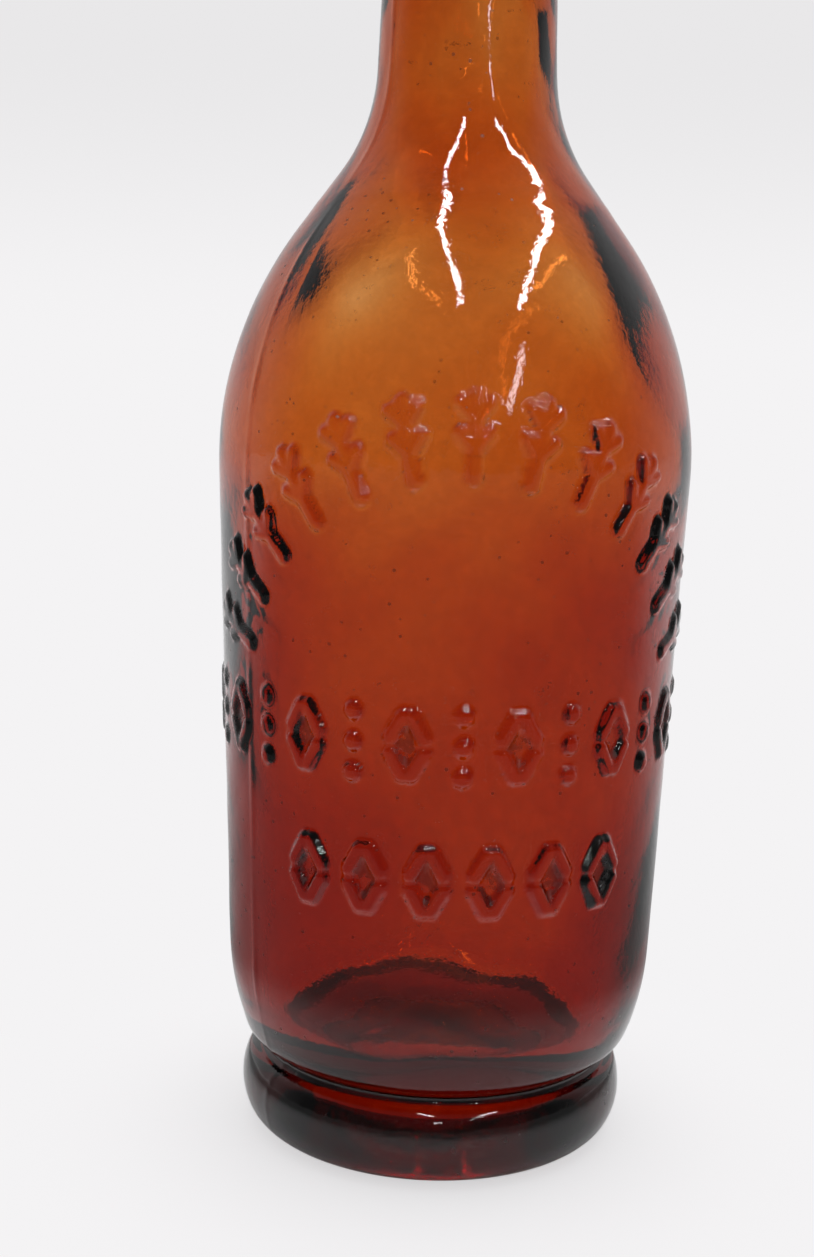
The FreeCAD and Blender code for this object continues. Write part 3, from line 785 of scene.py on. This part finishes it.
def ray_kinds(nodes, links):
    """Three switches: rays through glass, those or rays from the camera, and rays mirrored by gloss."""
    path = nodes.new("ShaderNodeLightPath")
    through = path.outputs["Is Transmission Ray"]
    direct = maths(nodes, links, "MAXIMUM", path.outputs["Is Camera Ray"], through)
    return through, direct, maths(nodes, links, "SUBTRACT", path.outputs["Is Glossy Ray"], through)


def mix_shader(nodes, links, factor, first, second):
    """A Mix Shader node: the first at factor 0 and the second at factor 1."""
    mix = nodes.new("ShaderNodeMixShader")
    for socket, source in zip(mix.inputs, (factor, first, second)):
        links.new(source, socket)
    return mix.outputs["Shader"]


print(f"the studio's pale colour is {PALE}")

# %% [markdown]
# ### Floor
#
# Close to the foot the floor is partly real paper, which keeps the soft shadow, and with distance it
# fades into the background's own colour, so that no horizon shows. A curved backdrop would do the same
# and needs a far larger set.

# %% Paper and glow
PAPER, NEAR_GLOW = (0.9, 0.9, 0.905, 1), 0.65
pale_floor, nodes, links, output = blank_material("pale_floor")
paper, glow = nodes.new("ShaderNodeBsdfDiffuse"), nodes.new("ShaderNodeEmission")
paper.inputs["Color"].default_value = PAPER
glow.inputs["Color"].default_value = (*PALE, 1)
place = nodes.new("ShaderNodeTexCoord")
distance = nodes.new("ShaderNodeVectorMath")
distance.operation = "LENGTH"
links.new(place.outputs["Object"], distance.inputs[0])
_, direct, mirrored = ray_kinds(nodes, links)
far = ramp_node(nodes, links, distance.outputs["Value"], 0.02, 0.09, NEAR_GLOW, 1.0)
bright = maths(nodes, links, "MULTIPLY", far, direct)
sheet = mix_shader(nodes, links, bright, paper.outputs["BSDF"], glow.outputs["Emission"])
print(f"{NEAR_GLOW:.0%} of what the camera sees of the paper close to the foot is glow")

# %% What the glass mirrors of the table
# dim round the paper, and pale again far behind
TABLE_GLOW = 0.25
table, axes = nodes.new("ShaderNodeEmission"), nodes.new("ShaderNodeSeparateXYZ")
table.inputs["Strength"].default_value = TABLE_GLOW
links.new(place.outputs["Object"], axes.inputs["Vector"])
beyond = ramp_node(nodes, links, distance.outputs["Value"], 0.04, 0.11, 0.0, 1.0)
before = ramp_node(nodes, links, axes.outputs["Y"], 0.0, 0.35, 1.0, 0.25)
dimmed = maths(nodes, links, "MULTIPLY", maths(nodes, links, "MULTIPLY", beyond, before), mirrored)
whole = mix_shader(nodes, links, dimmed, sheet, table.outputs["Emission"])
links.new(whole, output.inputs["Surface"])
print(f"{pale_floor.name} has {len(nodes)} nodes")

# %% Lay the floor
FLOOR_HALF = 4.0


def floor_mesh(name, half, at):
    """A square sheet of side 2 * half at one height."""
    corner = np.array([[-1, -1], [1, -1], [1, 1], [-1, 1]]) * half
    mesh = bpy.data.meshes.new(name)
    mesh.from_pydata([(x, y, at) for x, y in corner.tolist()], [], [(0, 1, 2, 3)])
    return mesh


floor = bpy.data.objects.new("floor", floor_mesh("floor", FLOOR_HALF, low.z))
bpy.context.scene.collection.objects.link(floor)
floor.data.materials.append(pale_floor)
print(f"{floor.name} of {2 * FLOOR_HALF:.0f} m a side under the resting ring")

# %% [markdown]
# ### World
#
# The world is pale all round for the camera, a little greyer upwards. For what the glass mirrors it is
# dim in front and brighter behind, and through the glass it is dim only in front, where the viewer
# stands. A panorama of a real studio would give richer mirrors, but it would be one more file, and its
# light couldn't be moved.

# %% A pale world
world = bpy.data.worlds.new("studio")
world.use_nodes = True
bpy.context.scene.world = world
nodes, links = world.node_tree.nodes, world.node_tree.links
nodes.clear()
output, background = nodes.new("ShaderNodeOutputWorld"), nodes.new("ShaderNodeBackground")
background.inputs["Color"].default_value = (*PALE, 1)
links.new(background.outputs["Background"], output.inputs["Surface"])
print(f"{world.name} is pale all round")

# %% How bright it is in each direction
place, axes = nodes.new("ShaderNodeTexCoord"), nodes.new("ShaderNodeSeparateXYZ")
links.new(place.outputs["Generated"], axes.inputs["Vector"])
through, _, mirrored = ray_kinds(nodes, links)
upward = ramp_node(nodes, links, axes.outputs["Z"], 0.0, 0.16, 1.0, 0.9)
dimmer = ramp_node(nodes, links, axes.outputs["Y"], -0.3, 0.85, 0.10, 0.7)
room = ramp_node(nodes, links, axes.outputs["Y"], -0.5, 0.1, 0.3, 1.0)
room = maths(nodes, links, "MAXIMUM", room, maths(nodes, links, "SUBTRACT", 1.0, through))
level = nodes.new("ShaderNodeMix")
level.data_type = "FLOAT"
links.new(mirrored, level.inputs["Factor"])
links.new(maths(nodes, links, "MULTIPLY", upward, room), level.inputs["A"])
links.new(dimmer, level.inputs["B"])
links.new(level.outputs["Result"], background.inputs["Strength"])
print(f"{world.name} has {len(nodes)} nodes")

# %% [markdown]
# ## Lamps
#
# One wide soft lamp above gives the shadow. It is kept out of what gloss mirrors, where it would be a
# white square on the shoulder.

# %% Soft lamp
BOTTLE_MIDDLE = Vector((0, 0, 0.1))


def soft_lamp(name, at, side, power):
    """A square area lamp of one side length, aimed at the middle of the bottle, unseen in the glass."""
    lamp = bpy.data.lights.new(name, "AREA")
    lamp.size, lamp.energy = side, power
    lamp.shape = "SQUARE"
    holder = bpy.data.objects.new(name, lamp)
    holder.location = at
    holder.rotation_euler = (BOTTLE_MIDDLE - Vector(at)).to_track_quat("-Z", "Y").to_euler()
    holder.visible_glossy = False
    bpy.context.scene.collection.objects.link(holder)


soft_lamp("overhead", (0.1, 0.2, 1.3), 1.2, 8.0)
print(f"lamps: {[item.name for item in bpy.data.lights]}")

# %% [markdown]
# ### Ribbons of light
#
# The bright wandering streaks on a glass shoulder are tubes of light mirrored in it, and a curved
# surface squeezes them to hairlines, so the lamps have to lie in the right directions rather than be
# large. They could be painted on as a bright texture, but only a mirrored lamp slides properly when the
# bottle turns. Each ribbon here is a strip of a great sphere, named by the directions it passes
# through. The same ribbons also glint orange from the inner wall.

# %% Ribbon meshes
RIBBON_AWAY, RIBBON_POINTS = 1.0, 40
RIBBON_MIDDLE = np.array([0, 0, 0.15])


def ribbon_mesh(name, directions, width):
    """A thin ribbon through points that lie RIBBON_AWAY metres off in the given directions: a line
    through them, widened sideways to its run and to the line of sight."""
    directions = np.array(directions, dtype=float)
    directions /= np.linalg.norm(directions, axis=1)[:, None]
    knots = np.linspace(0, 1, len(directions))
    t = np.linspace(0, 1, RIBBON_POINTS)
    spots = np.stack([np.interp(t, knots, directions[:, axis]) for axis in range(3)], axis=1)
    spots *= RIBBON_AWAY / np.linalg.norm(spots, axis=1)[:, None]
    run = np.gradient(spots, axis=0)
    side = np.cross(run, spots)
    side *= width / 2 / np.linalg.norm(side, axis=1)[:, None]
    vertices = np.concatenate([spots - side, spots + side]) + RIBBON_MIDDLE
    first = np.arange(len(t) - 1)
    faces = np.stack([first, first + 1, first + 1 + len(t), first + len(t)], axis=1)
    mesh = bpy.data.meshes.new(name)
    mesh.from_pydata(vertices.tolist(), [], faces.tolist())
    return mesh


print(f"each ribbon has {RIBBON_POINTS - 1} faces and lies {RIBBON_AWAY} m away")

# %% Ribbon lamps
def ribbon_lamp(name, directions, width, strength):
    """A bright ribbon that only the glass mirrors."""
    ribbon = bpy.data.objects.new(name, ribbon_mesh(name, directions, width))
    material, nodes, links, output = blank_material(name)
    glow = nodes.new("ShaderNodeEmission")
    glow.inputs["Strength"].default_value = strength
    links.new(glow.outputs["Emission"], output.inputs["Surface"])
    ribbon.data.materials.append(material)
    ribbon.visible_camera = False
    ribbon.visible_diffuse = False
    bpy.context.scene.collection.objects.link(ribbon)
    print(f"{name}: {width / MM:.0f} mm wide, strength {strength:.0f}")


ribbon_lamp("left_ribbon", [(0, -0.68, 0.73), (-0.07, -0.5, 0.86), (-0.17, -0.2, 0.96)], 0.032, 40.0)
ribbon_lamp("right_ribbon", [(0.44, -0.58, 0.69), (0.52, -0.15, 0.84), (0.57, 0.15, 0.81)], 0.03, 40.0)
ribbon_lamp("front_glint", [(0.02, -0.985, 0.17), (0.1, -0.98, 0.19)], 0.03, 25.0)
ribbon_lamp("low_ribbon", [(0.39, -0.88, 0.26), (0.44, -0.81, 0.39), (0.47, -0.7, 0.53)], 0.026, 14.0)

# %% [markdown]
# ## Camera
#
# The camera stands close, a little above the shoulder, and looks down by some nine degrees, so the
# foot ring shows as an ellipse and the neck leaves the frame at the top. Its axes are written out as a
# matrix, because a roll of under two degrees is hard to read from Euler angles.

# %% Camera
CAMERA_AT = np.array([-7.22, -308.59, 135.17])
CAMERA_DOWN, CAMERA_ROLL = 8.72, 1.71
LENS, SENSOR, CLIP_START = 51.55, 36.0, 0.01


def aim(down, roll):
    """The camera's axes as columns: right and up turned by roll, and back, which rises by down."""
    back = np.array([0, -math.cos(math.radians(down)), math.sin(math.radians(down))])
    right, up = np.array([1.0, 0, 0]), np.cross(back, [1.0, 0, 0])
    c, s = math.cos(math.radians(roll)), math.sin(math.radians(roll))
    return np.stack([c * right + s * up, -s * right + c * up, back], axis=1)


camera = bpy.data.objects.new("camera", bpy.data.cameras.new("camera"))
camera.data.lens = LENS
camera.data.sensor_width = SENSOR
camera.data.clip_start = CLIP_START
matrix = Matrix(aim(CAMERA_DOWN, CAMERA_ROLL).tolist()).to_4x4()
matrix.translation = (CAMERA_AT * MM).tolist()
camera.matrix_world = matrix
bpy.context.scene.collection.objects.link(camera)
bpy.context.scene.camera = camera
bpy.context.scene.view_settings.view_transform = "Standard"
print(f"camera {-CAMERA_AT[1]:.0f} mm in front of the bottle, {LENS} mm lens")
